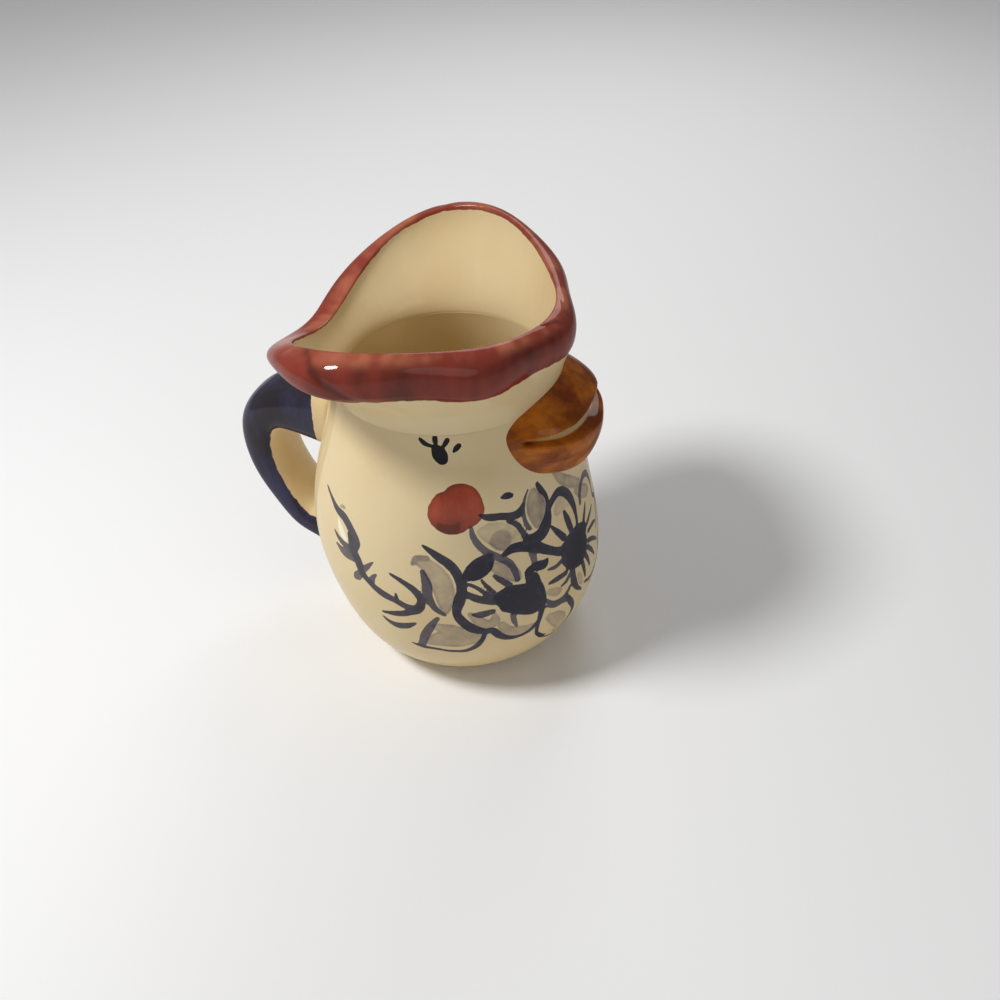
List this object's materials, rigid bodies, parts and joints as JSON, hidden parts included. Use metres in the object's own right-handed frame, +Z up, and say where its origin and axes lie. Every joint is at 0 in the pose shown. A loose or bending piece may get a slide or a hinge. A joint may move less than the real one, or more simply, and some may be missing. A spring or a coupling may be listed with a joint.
{
  "type": "pitcher",
  "caption": "Glazed earthenware pitcher shaped as a chicken, with an open belly, a wavy comb rim, a beak and a strap handle.",
  "frame": {"origin": "centre of the foot ring, on the surface that the pitcher stands on", "axes": "+Z up, +X towards the beak, with the handle at -X; the pitcher is alike on its +Y and -Y sides"},
  "size_m": [0.172, 0.1454, 0.1831],
  "materials": {
    "cream_glaze": "clear gloss glaze over cream slip, hand-painted in blue, grey, black and red",
    "red_glaze": "clear gloss glaze over brushed brick red, cream inside and underneath",
    "blue_glaze": "clear gloss glaze over brushed dark blue, cream on the inner face",
    "amber_glaze": "clear gloss glaze over brushed amber"
  },
  "bodies": {
    "root": {"body": "cream_glaze", "comb_collar": "red_glaze", "handle": "blue_glaze", "beak": "amber_glaze"}
  },
  "joints": []
}
